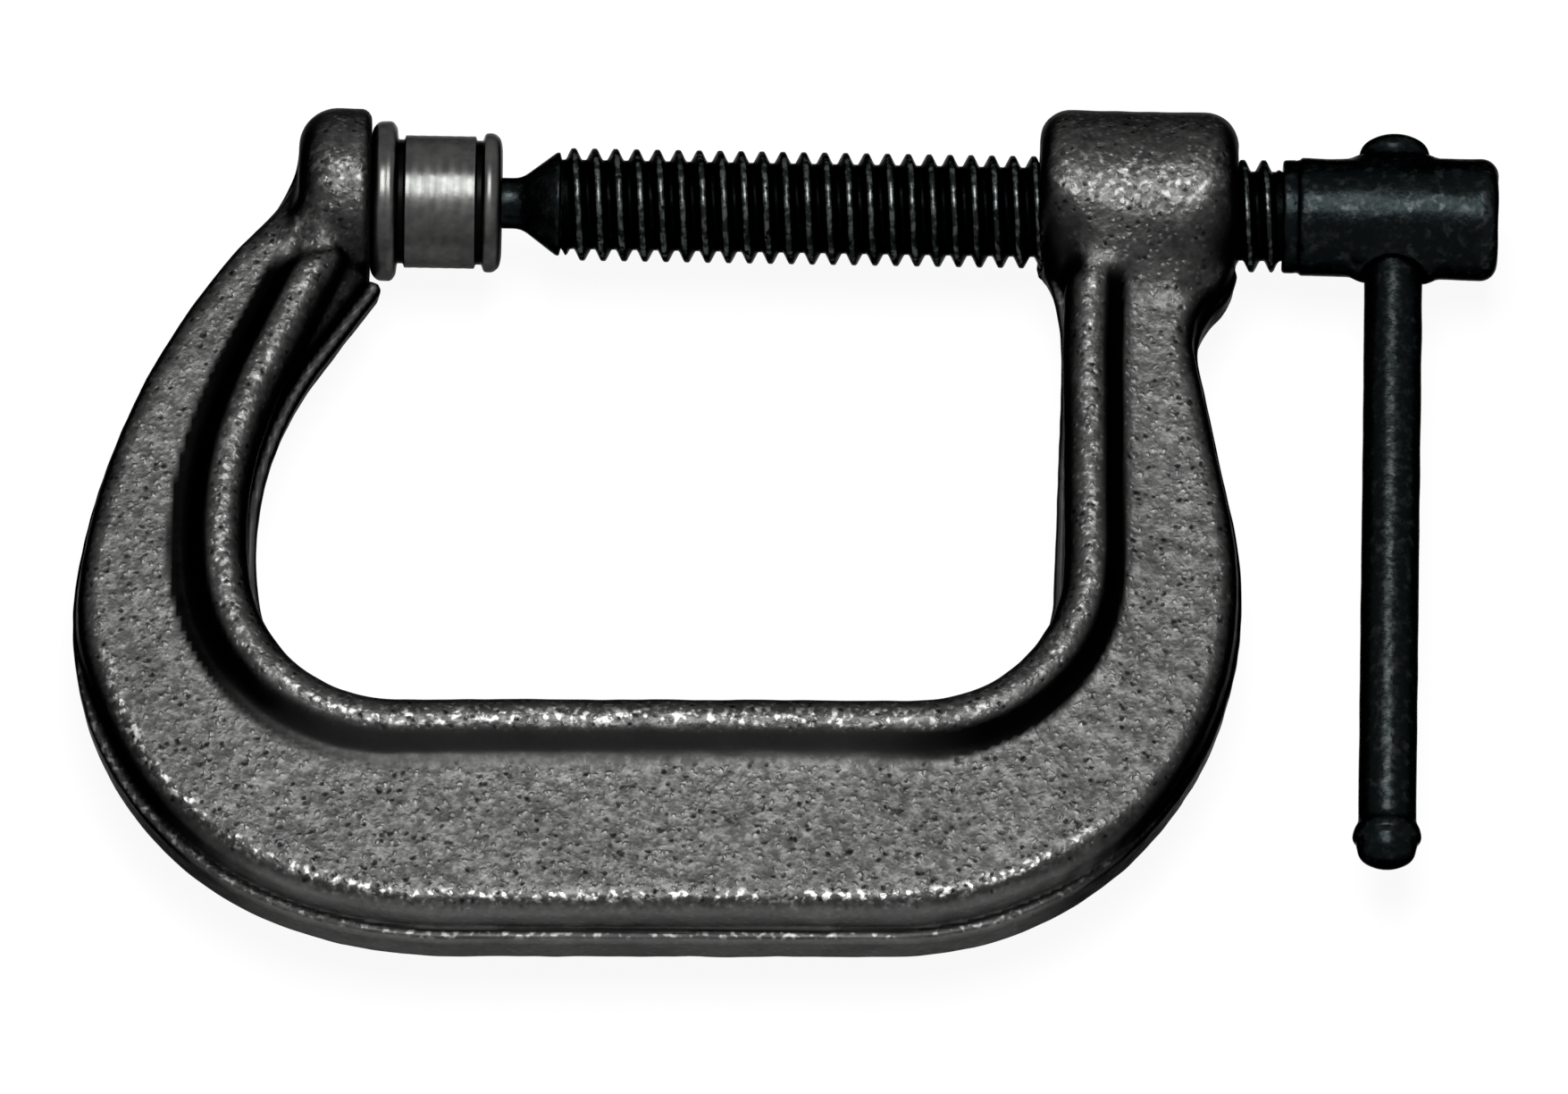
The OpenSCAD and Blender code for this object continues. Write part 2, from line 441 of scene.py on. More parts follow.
class Shader:
    """A small builder for one material's node tree."""

    def __init__(self, name: str) -> None:
        """Makes an empty material with a Principled shader and object coordinates."""
        self.material = bpy.data.materials.new(name)
        self.material.use_nodes = True
        self.tree = self.material.node_tree
        self.surface = self.tree.nodes["Principled BSDF"]
        self.place = self.node("ShaderNodeTexCoord").outputs["Object"]

    def node(self, kind: str, inputs: dict | None = None, **settings) -> bpy.types.Node:
        """Adds a node to this material's tree."""
        return add_node(self.tree, kind, inputs, **settings)

    def noise(self, size: float, detail: float = 3.0, rough: float = 0.55,
              stretch: tuple[float, float, float] = (1.0, 1.0, 1.0)) -> bpy.types.NodeSocket:
        """Noise whose features are about size millimetres across."""
        place = self.node("ShaderNodeMapping", {"Vector": self.place, "Scale": stretch}).outputs[0]
        return self.node("ShaderNodeTexNoise", {
            "Vector": place, "Scale": 1.0 / (size * MM), "Detail": detail, "Roughness": rough,
        }).outputs["Fac"]

    def spots(self, size: float, share: float) -> bpy.types.NodeSocket:
        """Scattered uneven spots: 1 in the middle of a spot, falling to 0 at its edge.

        Args:
            size: The spacing of the cells that may hold a spot, in millimetres.
            share: How much of its cell a spot's radius takes.

        Returns:
            A socket from 0 to 1.
        """
        stir = self.node("ShaderNodeTexNoise", {
            "Vector": self.place, "Scale": 1.2 / (size * MM), "Detail": 1.0})
        moved = self.node("ShaderNodeVectorMath", {
            0: stir.outputs["Color"], 1: (size * MM * 0.7,) * 3, 2: self.place}, operation="MULTIPLY_ADD")
        cell = self.node("ShaderNodeTexVoronoi", {"Vector": moved.outputs[0], "Scale": 1.0 / (size * MM)})
        return self.ramp(cell.outputs["Distance"], share, 0.0)

    def ramp(self, value: bpy.types.NodeSocket, low: float, high: float, to_low: float = 0.0,
             to_high: float = 1.0) -> bpy.types.NodeSocket:
        """Maps the stretch from low to high smoothly onto another, held at its ends."""
        return self.node("ShaderNodeMapRange", {
            "Value": value, "From Min": low, "From Max": high, "To Min": to_low, "To Max": to_high,
        }, interpolation_type="SMOOTHSTEP").outputs["Result"]

    def math(self, operation: str, one: object, other: object) -> bpy.types.NodeSocket:
        """One step of arithmetic on two sockets or numbers."""
        return self.node("ShaderNodeMath", {0: one, 1: other}, operation=operation).outputs[0]

    def mix(self, amount: object, one: object, other: object, clamp: bool = True) -> bpy.types.NodeSocket:
        """A colour between two colours, or past the second one if the amount isn't clamped."""
        first, second = ((*c, 1.0) if isinstance(c, tuple) else c for c in (one, other))
        return self.node("ShaderNodeMix", {"Factor": amount, 6: first, 7: second}, data_type="RGBA",
                         clamp_factor=clamp).outputs[2]

    def attribute(self, name: str) -> bpy.types.NodeSocket:
        """A value that the mesh holds at each point."""
        return self.node("ShaderNodeAttribute", attribute_name=name).outputs["Fac"]

    def bump(self, height: bpy.types.NodeSocket, depth: float,
             below: bpy.types.NodeSocket | None = None, strength: object = 1.0) -> bpy.types.NodeSocket:
        """A bump of depth millimetres, on top of another if one is given."""
        inputs = {"Height": height, "Distance": depth * MM, "Strength": strength}
        if below is not None:
            inputs["Normal"] = below
        return self.node("ShaderNodeBump", inputs).outputs["Normal"]

    def set(self, **inputs: object) -> None:
        """Sets or links the surface shader's inputs, with spaces written as underscores."""
        for key, value in inputs.items():
            socket = self.surface.inputs[key.replace("_", " ")]
            if isinstance(value, bpy.types.NodeSocket):
                self.tree.links.new(value, socket)
            elif isinstance(value, tuple):
                socket.default_value = (*value, 1.0)
            else:
                socket.default_value = value


@dataclass(frozen=True)
class ForgedSteel:
    """Dark forged steel with a fine hammered grain, tumbled bright on its proud edges, with painted shade,
    light and glints from the mesh.
    """

    steel: tuple[float, float, float] = (0.0290, 0.0290, 0.0286)
    rub_and_painted_glint: tuple[float, float, float] = (0.36, 0.36, 0.355)
    grain: float = 0.8

    def material(self) -> bpy.types.Material:
        """The finish as a material; the values "tone", "worn" and "grain" come from the mesh."""
        s = Shader("forged_steel")
        tone_and_painted_light, marks_and_painted_light, grain = s.attribute("tone_and_painted_light"), s.attribute("marks_and_painted_light"), s.attribute("grain")
        fine = s.noise(self.grain, 2.0, 0.5)
        coarse = s.noise(2.2, 2.0, 0.5)
        cloud = s.noise(9.0, 3.0)
        bumps = s.spots(0.95, 0.44)
        pits = s.math("MULTIPLY", s.spots(1.2, 0.38), s.ramp(s.noise(3.0, 1.0), 0.36, 0.52))
        shade = s.ramp(fine, 0.34, 0.66, 0.70, 1.22)
        shade = s.math("MULTIPLY", shade, s.ramp(coarse, 0.32, 0.68, 0.84, 1.16))
        shade = s.math("ADD", shade, s.math("MULTIPLY", bumps, 1.1))
        shade = s.math("MULTIPLY", shade, s.math("SUBTRACT", 1.0, s.math("MULTIPLY", pits, 0.95)))
        shade = s.math("ADD", 1.0, s.math("MULTIPLY", grain, s.math("SUBTRACT", shade, 1.0)))
        shade = s.math("MULTIPLY", shade, s.ramp(cloud, 0.3, 0.7, 0.9, 1.1))
        # The mesh's tone carries painted shade and painted light into the steel's colour.
        level = s.math("MULTIPLY", tone_and_painted_light, shade)
        colour = s.mix(level, (0.0, 0.0, 0.0), self.steel, clamp=False)
        # Rubbed bright metal and painted glints take the lighter colour.
        rub_and_painted_glint_share = s.math("MULTIPLY", marks_and_painted_light, s.ramp(s.noise(0.95, 1.5), 0.50, 0.68))
        colour = s.mix(rub_and_painted_glint_share, colour, self.rub_and_painted_glint)
        rough = s.ramp(fine, 0.3, 0.7, 0.44, 0.36)
        low = s.bump(coarse, 0.10, strength=grain)
        mid = s.bump(s.math("SUBTRACT", bumps, pits), 0.06, low, grain)
        top = s.bump(fine, 0.07, mid, grain)
        s.set(Base_Color=colour, Metallic=1.0, Roughness=rough, Normal=top, Specular_Tint=(0.3, 0.3, 0.3))
        return s.material


@dataclass(frozen=True)
class BlackOxide:
    """Oiled black oxide with a cold tint, specked and rubbed lighter on its crests, with painted shade and
    painted highlights from the mesh.
    """

    name: str = "black_oxide"
    dark: tuple[float, float, float] = (0.0036, 0.0048, 0.0049)
    rubbed_and_painted_highlight: tuple[float, float, float] = (0.052, 0.056, 0.056)
    roughness: float = 0.27

    def material(self) -> bpy.types.Material:
        """The finish as a material; the values "tone" and "worn" come from the mesh."""
        s = Shader(self.name)
        tone_and_painted_light, marks_and_painted_light = s.attribute("tone_and_painted_light"), s.attribute("marks_and_painted_light")
        fine = s.noise(0.5, 2.0)
        blotch = s.noise(2.0, 3.0)
        specks = s.ramp(s.noise(1.1, 2.0), 0.46, 0.70)
        pits = s.ramp(s.noise(1.2, 1.0), 0.34, 0.29)
        streaks = s.ramp(s.noise(1.0, 1.5), 0.42, 0.64, 0.2, 1.6)
        amount = s.math("MULTIPLY", specks, s.ramp(blotch, 0.35, 0.65, 0.03, 0.22))
        # Rubbed crests, and painted highlights along the bar and at the head's rim.
        amount = s.math("MAXIMUM", amount, s.math("MULTIPLY", marks_and_painted_light, streaks))
        amount = s.math("MULTIPLY", amount, s.math("SUBTRACT", 1.0, pits))
        colour = s.mix(amount, self.dark, self.rubbed_and_painted_highlight)
        # The tone carries painted shade: the thread's flanks and valleys, the head's groove and hole.
        colour = s.mix(tone_and_painted_light, (0.0, 0.0, 0.0), colour)
        rough = s.ramp(fine, 0.3, 0.7, self.roughness - 0.05, self.roughness + 0.09)
        low = s.bump(blotch, 0.04)
        top = s.bump(fine, 0.022, low)
        s.set(Base_Color=colour, Metallic=1.0, Roughness=rough, Normal=top, Specular_Tint=(0.25, 0.25, 0.25))
        return s.material


@dataclass(frozen=True)
class TurnedSteel:
    """Bright steel as it left the lathe, with fine rings round the screw's axis."""

    bright: tuple[float, float, float] = (0.066, 0.067, 0.064)
    dull: tuple[float, float, float] = (0.045, 0.046, 0.045)
    painted_shade_colour: tuple[float, float, float] = (0.002, 0.002, 0.002)
    feed: float = 1.4

    def material(self) -> bpy.types.Material:
        """The finish as a material.

        The value for painted shade, which darkens the grooves, the flange's slopes and the back
        end, and "dull", where the turning is less bright, come from the mesh.
        """
        s = Shader("turned_steel")
        rings = s.noise(0.22, 2.0, stretch=(1.0, 0.02, 0.02))
        wave = s.node("ShaderNodeTexWave", {
            "Vector": s.place, "Scale": math.pi / 10.0 / (self.feed * MM), "Distortion": 0.6,
            "Detail": 1.0, "Detail Scale": 0.5,
        }, wave_type="BANDS", bands_direction="X").outputs["Fac"]
        blotch = s.noise(1.6, 3.0)
        colour = s.mix(s.ramp(blotch, 0.32, 0.68), self.dull, self.bright)
        # Painted shade where the mesh asks for it.
        colour = s.mix(s.attribute("marks_and_painted_light"), colour, self.painted_shade_colour)
        rough = s.math("MULTIPLY", s.attribute("dull"), 0.16)
        rough = s.math("ADD", s.ramp(wave, 0.0, 1.0, 0.22, 0.31), rough)
        low = s.bump(wave, 0.05)
        top = s.bump(rings, 0.008, low)
        grain = s.bump(blotch, 0.02, top)
        s.set(Base_Color=colour, Metallic=1.0, Roughness=rough, Normal=grain, Specular_Tint=(0.4, 0.4, 0.4))
        return s.material


# --------------------------------------------------------------------- pieces


@dataclass(frozen=True)
class ForgedTones:
    """How much painted shade darkens and painted light lightens each stretch of the forging, and how much is
    rubbed bright or given painted glints.
    """

    painted_flank_shade: float = 0.93
    painted_groove_shade: float = 0.45
    painted_groove_aside_shade: float = 0.53
    painted_hollow_shade: float = 0.85
    painted_boss_underside_shade: float = 0.5
    crest_wear_and_painted_light: float = 0.10
    painted_brink_light: float = 0.15
    painted_wall_light: float = 1.9
    painted_lower_wall_light: float = 0.4
    boss_light: float = 0.1
    strip: float = 1.0
    anvil_face: float = 0.7
    rim_wear_and_painted_glint: float = 0.8
    painted_ledge_glint: float = 0.35
    painted_boss_highlight: float = 0.18


@dataclass
class Skin:
    """Points of the forging's skin and how they lie: what its finish depends on.

    The distances are inside the C's outlines, off the bead's middle and off the panel's edge. The
    masks, which are also the methods' results, run from 0 to 1.
    """

    x: Array
    y: Array
    z: Array
    normal: Array
    convex: Array
    inner: Array
    outer: Array
    off_bead: Array
    off_panel: Array
    bar: Array
    bottom: Array

    def up(self) -> Array:
        """How squarely the skin faces up or down."""
        return np.abs(self.normal[:, 2])

    def across(self) -> Array:
        """The steep flanks that face along the screw, which the forging's tone darkens as painted shade."""
        return soft_step(0.30, 0.80, np.abs(self.normal[:, 0]))

    def boss(self) -> Array:
        """The anvil boss and the nut boss."""
        x, r = self.x, np.hypot(self.y, self.z)
        anvil = soft_step(-10.5, -8.5, x) * soft_step(1.5, 0.0, x) * soft_step(12.0, 10.8, r)
        return np.maximum(anvil, soft_step(73.5, 75.5, x) * soft_step(13.2, 11.8, r))

    def anvil_face(self) -> Array:
        """The machined face that holds the work."""
        near = soft_step(10.2, 9.6, np.hypot(self.y, self.z))
        return self.across() * soft_step(0.5, 0.2, np.abs(self.x)) * near

    def groove(self) -> Array:
        """The groove beside the bead, with a softer edge along the back bar."""
        blur = 0.25 + 0.65 * self.bottom
        sunk = soft_step(blur, -blur, self.off_panel) * soft_step(1.2, 1.9, self.off_bead)
        return sunk * (1.0 - self.boss()) * soft_step(-8.0, -12.0, self.y)

    def crest(self) -> Array:
        """The top of the bead."""
        top = soft_step(1.5, 0.4, np.abs(self.off_bead)) * soft_step(7.2, 8.0, np.abs(self.z))
        return top * (1.0 - self.boss())


@dataclass
class ForgedFrame:
    """The C: a web with a bead along its inner edge, an anvil boss and a tapped nut boss.

    The stations are distances along the bead's path. At each of them bead_in and panel_in say how
    far inside the path the bead's middle and the flat panel's edge lie. The bosses are given as
    their start, end and radius along the screw.
    """

    inner: PenPath = PenPath((76.1, -7.7, -70.0), (
        (33, -21), (28.4, 0), (15.5, -88), (57.7, 0), (16, -82), (42, -43), (10.8, 0), (0.8, 64), (5, 0)))
    outer: PenPath = PenPath((-7.9, 7.0, -97.0), (
        (23.5, -32), (2.8, 0), (82, 31), (38, 8), (0.7, 0), (38, 72), (53, 19), (49, 0), (38, 41), (43, 48),
        (0.7, 0), (43, 2), (53, 10), (19.1, 0), (8.5, -56), (7, 44)))
    bead_path: PenPath = PenPath((78.15, -5.0, -91.0), (
        (42.7, 0), (15.5, -88), (57.7, 0), (16, -82), (42, -34), (20.5, 0)))
    stations: tuple[float, ...] = (15, 40, 60, 90, 118, 148, 166, 186)
    bead_in: tuple[float, ...] = (3.4, 4.35, 3.9, 3.75, 3.75, 4.0, 3.95, 4.5)
    panel_in: tuple[float, ...] = (7.3, 8.3, 8.5, 8.4, 8.8, 10.2, 9.4, 9.4)
    web_half: float = 6.0
    flange_half: float = 3.3
    bead_z: float = 5.35
    bead_radius: float = 3.05
    groove_depth: float = 0.32
    groove_side: tuple[float, float] = (2.0, 0.6)
    groove_fillet: float = 2.2
    edge_fillet: float = 0.5
    bead_end: float = -10.2
    draft: float = math.tan(math.radians(5.0))
    rim: float = 2.1
    inner_rim: float = 0.45
    anvil_thinning: float = 3.4
    arm_ends: tuple[float, float] = (5.5, -6.5)
    anvil: tuple[float, float, float] = (-8.2, 0.0, 10.38)
    anvil_rims: tuple[float, float] = (4.3, 1.3)
    nut: tuple[float, float, float] = (75.4, 97.85, 11.6)
    nut_rims: tuple[float, float] = (3.3, 3.8)
    nut_rims_below: tuple[float, float] = (7.0, 6.8)
    bore: float = 6.58
    chamfer: float = 0.9
    boss_fillet: float = 4.5
    ledge: float = 1.35
    side_ledge: float = 0.35
    inner_ledge: float = 1.15
    ledge_z: float = 1.1
    low_inset: float = 0.1
    grid: float = 0.62
    tones: ForgedTones = ForgedTones()

    @staticmethod
    def below_bar(at: Array) -> Array:
        """1 along the outer edge of the back bar and 0 along the arms, smooth between."""
        return soft_step(66.0, 84.0, at) * soft_step(214.0, 197.0, at)

    def section(self, x: Array, y: Array, z: Array) -> tuple[Array, Array]:
        """The arm alone.

        Its height above the parting plane is a web's, drafted and rounded at the rim and thinner
        at the inner edge, joined to a bead: a round bar at a distance from its path that varies a
        little along it. A smooth step at the panel's edge sinks the groove beside the bead. The
        lower half of the web stands out past the upper one, and its top is a ledge.

        Args:
            x: The points' first coordinate.
            y: Their second.
            z: Their third.

        Returns:
            The field, and the distance inside the arm's outline.
        """
        inner, _ = self.inner.distance(x, y)
        outer, at = self.outer.distance(x, y)
        to_bead, along = self.bead_path.distance(x, y)
        bead_in = np.interp(along, self.stations, self.bead_in)
        panel_in = np.interp(along, self.stations, self.panel_in)
        height = np.abs(z)
        foot, brink = (panel_in - back for back in self.groove_side)
        half = self.web_half - self.groove_depth * (1.0 - soft_step(foot, brink, to_bead))
        half = self.flange_half + (half - self.flange_half) * soft_step(0.6, bead_in, inner)
        half = half - self.anvil_thinning * soft_step(-8.0, 3.0, y) * (x < 20.0)
        set_back = self.side_ledge + (self.ledge - self.side_ledge) * self.below_bar(at)
        web = round_meet(height - half, height * self.draft + set_back - outer, self.rim)
        inner_draft = height * 1.5 * self.draft
        web = round_meet(web, inner_draft + self.inner_ledge - inner, self.inner_rim)
        lower = round_meet(height - half, height * self.draft + self.low_inset - outer, self.rim)
        lower = round_meet(lower, inner_draft + self.low_inset - inner, self.inner_rim)
        web = join(web, meet(lower, z - self.ledge_z, 0.4), 0.3)
        web = np.maximum(web, y - np.where(x < 30.0, *self.arm_ends))
        bead = np.hypot(to_bead - bead_in, height - self.bead_z) - self.bead_radius
        bead = meet(bead, y - self.bead_end, 2.5)
        fillet = mixed(self.edge_fillet, self.groove_fillet, soft_step(bead_in - 1.0, bead_in + 1.0, to_bead))
        return join(web, bead, fillet), np.minimum(inner, outer)

    def shape(self, x: Array, y: Array, z: Array) -> Array:
        """The whole forging: the arm joined to both bosses by fillets, then machined.

        The fillets fade out at the arm's outline, which already turns into the bosses, and the
        bosses' rims are rounder there. The forging is a little uneven. The anvil is spot-faced and
        the nut boss bored, with a chamfer at both ends.

        Args:
            x: The points' first coordinate.
            y: Their second.
            z: Their third.

        Returns:
            The field, negative inside.
        """
        r = np.hypot(y, z)
        solid, inside = self.section(x, y, z)
        boss = rounded_rod(x, r, self.anvil[:2], self.anvil[2], self.anvil_rims)
        low = soft_step(-1.0, -8.0, y)
        start, end = (mixed(a, b, low) for a, b in zip(self.nut_rims, self.nut_rims_below))
        nut = rounded_rod(x, r, self.nut[:2], self.nut[2], (start, end))
        fillet = 0.6 + (self.boss_fillet - 0.6) * soft_step(0.5, 4.5, inside)
        solid = join(join(solid, boss, fillet), nut, fillet)
        facing_cut = np.maximum(np.abs(x - 5.0) - 5.0, r - self.anvil[2] - 0.2)
        off_faces = np.where(np.abs(x) < 2.0, soft_step(0.3, 2.0, np.abs(x)),
                             soft_step(self.bore, self.bore + 2.5, r))
        uneven = 0.022 * ripples(x, y, z, 11.0, 9, 3) + 0.016 * ripples(x, y, z, 3.2, 12, 5)
        solid = solid + uneven * off_faces
        worn_face = 0.008 * ripples(0 * x, y, z, 7.0, 6, 31) - 0.02
        solid = meet(solid, worn_face - facing_cut, 0.1)
        chamfer = np.maximum(0.0, self.chamfer - np.minimum(x - self.nut[0], self.nut[1] - x))
        hole = np.where(x > 60.0, self.bore + np.minimum(chamfer, 2.0) - r, -50.0)
        return meet(solid, hole, 0.12)

    def build(self) -> bpy.types.Object:
        """Makes the frame's surface and dresses it; the grid is finest at the parting plane."""
        low, high = (np.array(c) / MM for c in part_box("frame"))
        margin = 1.5
        x = np.arange(low[0] - margin, high[0] + margin, self.grid)
        y = np.arange(low[1] - margin, high[1] + margin, self.grid)
        near = np.array([0.15, 0.42, 0.62, 0.95, 1.4])
        far = np.arange(near[-1] + 0.55, high[2] + margin, 0.55)
        z = np.concatenate([-far[::-1], -near[::-1], near, far])
        skin = contour(self.shape, (x, y, z))
        skin.values.update(self.finish_values(skin.points))
        return skin.piece("forged_frame", ForgedSteel().material())

    def skin(self, points: Array) -> Skin:
        """Looks up how points of the skin lie.

        Args:
            points: The skin's points.

        Returns:
            Their places. Convexity is the field's mean a short way off the surface.
        """
        x, y, z = points.T
        _, rise = slope(self.shape, points)
        reach = 0.6
        steps = reach * np.concatenate([np.eye(3), -np.eye(3)])
        about = sum(self.shape(x + a, y + b, z + c) for a, b, c in steps) / len(steps)
        outer, at = self.outer.distance(x, y)
        inner, _ = self.inner.distance(x, y)
        to_bead, along = self.bead_path.distance(x, y)
        return Skin(
            x, y, z, rise / np.linalg.norm(rise, axis=1)[:, None], about / reach, inner, outer,
            off_bead=to_bead - np.interp(along, self.stations, self.bead_in),
            off_panel=to_bead - np.interp(along, self.stations, self.panel_in),
            bar=self.below_bar(at),
            bottom=soft_step(60.0, 74.0, along) * soft_step(142.0, 122.0, along))

    def ledges(self, skin: Skin) -> tuple[Array, Array]:
        """The narrow flat ledge along the inner edge and the one along the outer edge, as masks."""
        flat = soft_step(0.55, 0.85, skin.up()) * soft_step(1.1, 0.8, np.abs(skin.z - self.ledge_z))
        strip = flat * soft_step(self.inner_ledge + 0.1, self.inner_ledge - 0.3, skin.inner)
        return strip, flat * soft_step(self.ledge + 0.5, self.ledge + 0.1, skin.outer)

    def tone_and_painted_light(self, skin: Skin) -> Array:
        """How light the steel is.

        Painted shade darkens the hollows, the groove beside the bead, the steep flanks across the screw,
        the outer ledge's crease and the bosses' sides facing -Y. Painted light lightens the outer walls
        facing -Y, the outer ledge's brim and the panel's brink along the back bar. The bead's crest is
        lighter from wear and painted light. The inner ledge is set back to the plain steel.

        Args:
            skin: How the points lie.

        Returns:
            What scales the steel's colour at each point.
        """
        much, groove, boss = self.tones, skin.groove(), skin.boss()
        strip, shelf = self.ledges(skin)
        backward = -skin.normal[:, 1]
        aside = np.maximum(soft_step(0.1, 0.5, np.abs(skin.normal[:, 0])), 1.0 - skin.bottom)
        # Painted shade on the steep flanks across the screw, then in the groove beside the bead.
        tone_and_painted_light = 1.0 - much.painted_flank_shade * skin.across()
        tone_and_painted_light = tone_and_painted_light * (1.0 - groove * (much.painted_groove_shade + much.painted_groove_aside_shade * aside))
        # Painted light on the panel's brink along the back bar, and on the bead's crest together with wear.
        brink = bell(skin.off_panel, 1.2, 0.8) * soft_step(-62.0, -68.0, skin.y)
        tone_and_painted_light = tone_and_painted_light * (1.0 + much.crest_wear_and_painted_light * skin.crest() + much.painted_brink_light * brink)
        # Painted shade in the hollows.
        hollow = soft_step(-0.04, -0.22, skin.convex) * (1.0 - groove) * soft_step(0.9, 0.6, skin.up())
        tone_and_painted_light = mixed(tone_and_painted_light * (1.0 - much.painted_hollow_shade * hollow), much.strip, strip)
        # Painted shade in the outer ledge's crease and painted reflection on its brim.
        tone_and_painted_light = mixed(tone_and_painted_light, skin.bar * (0.1 + 0.9 * soft_step(0.95, 0.55, skin.outer)), shelf)
        # Painted light on the walls facing -Y, more on their lower half.
        wall = soft_step(0.55, 0.9, backward) * soft_step(4.0, 2.6, skin.outer)
        lower = soft_step(self.ledge_z, self.ledge_z - 0.6, skin.z)
        tone_and_painted_light = tone_and_painted_light * (1.0 + (much.painted_wall_light + much.painted_lower_wall_light * lower) * wall)
        # Painted shade on the bosses' sides facing -Y.
        below = much.painted_boss_underside_shade * soft_step(0.35, 0.75, backward)
        tone_and_painted_light = tone_and_painted_light * (1.0 + boss * (much.boss_light - below))
        return mixed(tone_and_painted_light, much.anvil_face, skin.anvil_face())

    def marks_and_painted_light(self, skin: Skin) -> Array:
        """How much is brightened: the rim and the bead's crest are rubbed and painted highlight, the ledge's
        brim and the bosses' tops only painted highlight.
        """
        much, boss = self.tones, skin.boss()
        # The rim along the back bar is rubbed bright and also stands in for its highlight.
        rim = bell(skin.outer, self.ledge + 2.0, 0.5) * soft_step(4.7, 5.2, np.abs(skin.z)) * skin.bar
        # Painted glints on the outer ledge's brim.
        glints = self.ledges(skin)[1] * skin.bar * soft_step(0.95, 0.6, skin.outer)
        # The crest is rubbed, more along the back bar, where this is a painted glint.
        crest_wear_and_painted_glint = (0.2 + 0.3 * skin.bottom) * skin.crest() * soft_step(0.8, 0.97, skin.up())
        edges = np.maximum(np.maximum(much.rim_wear_and_painted_glint * rim, much.painted_ledge_glint * glints), crest_wear_and_painted_glint)
        # Painted highlight on the bosses' upper band, where the lamp's reflection falls.
        top = soft_step(0.40, 0.15, np.abs(skin.normal[:, 1] + 0.08)) * (skin.z > 0)
        return np.maximum(edges * (1.0 - boss), much.painted_boss_highlight * boss * top * (1.0 - skin.across()))

    def finish_values(self, points: Array) -> dict[str, Array]:
        """The steel's "tone", "worn" and "grain" at points of the skin; flanks have little grain."""
        skin = self.skin(points)
        grain = (0.2 + 0.8 * soft_step(0.45, 0.8, skin.up())) * (1.0 - 0.9 * skin.groove())
        grain = grain * (1.0 - np.maximum(*self.ledges(skin)))
        return {"tone_and_painted_light": self.tone_and_painted_light(skin), "marks_and_painted_light": self.marks_and_painted_light(skin), "grain": grain}


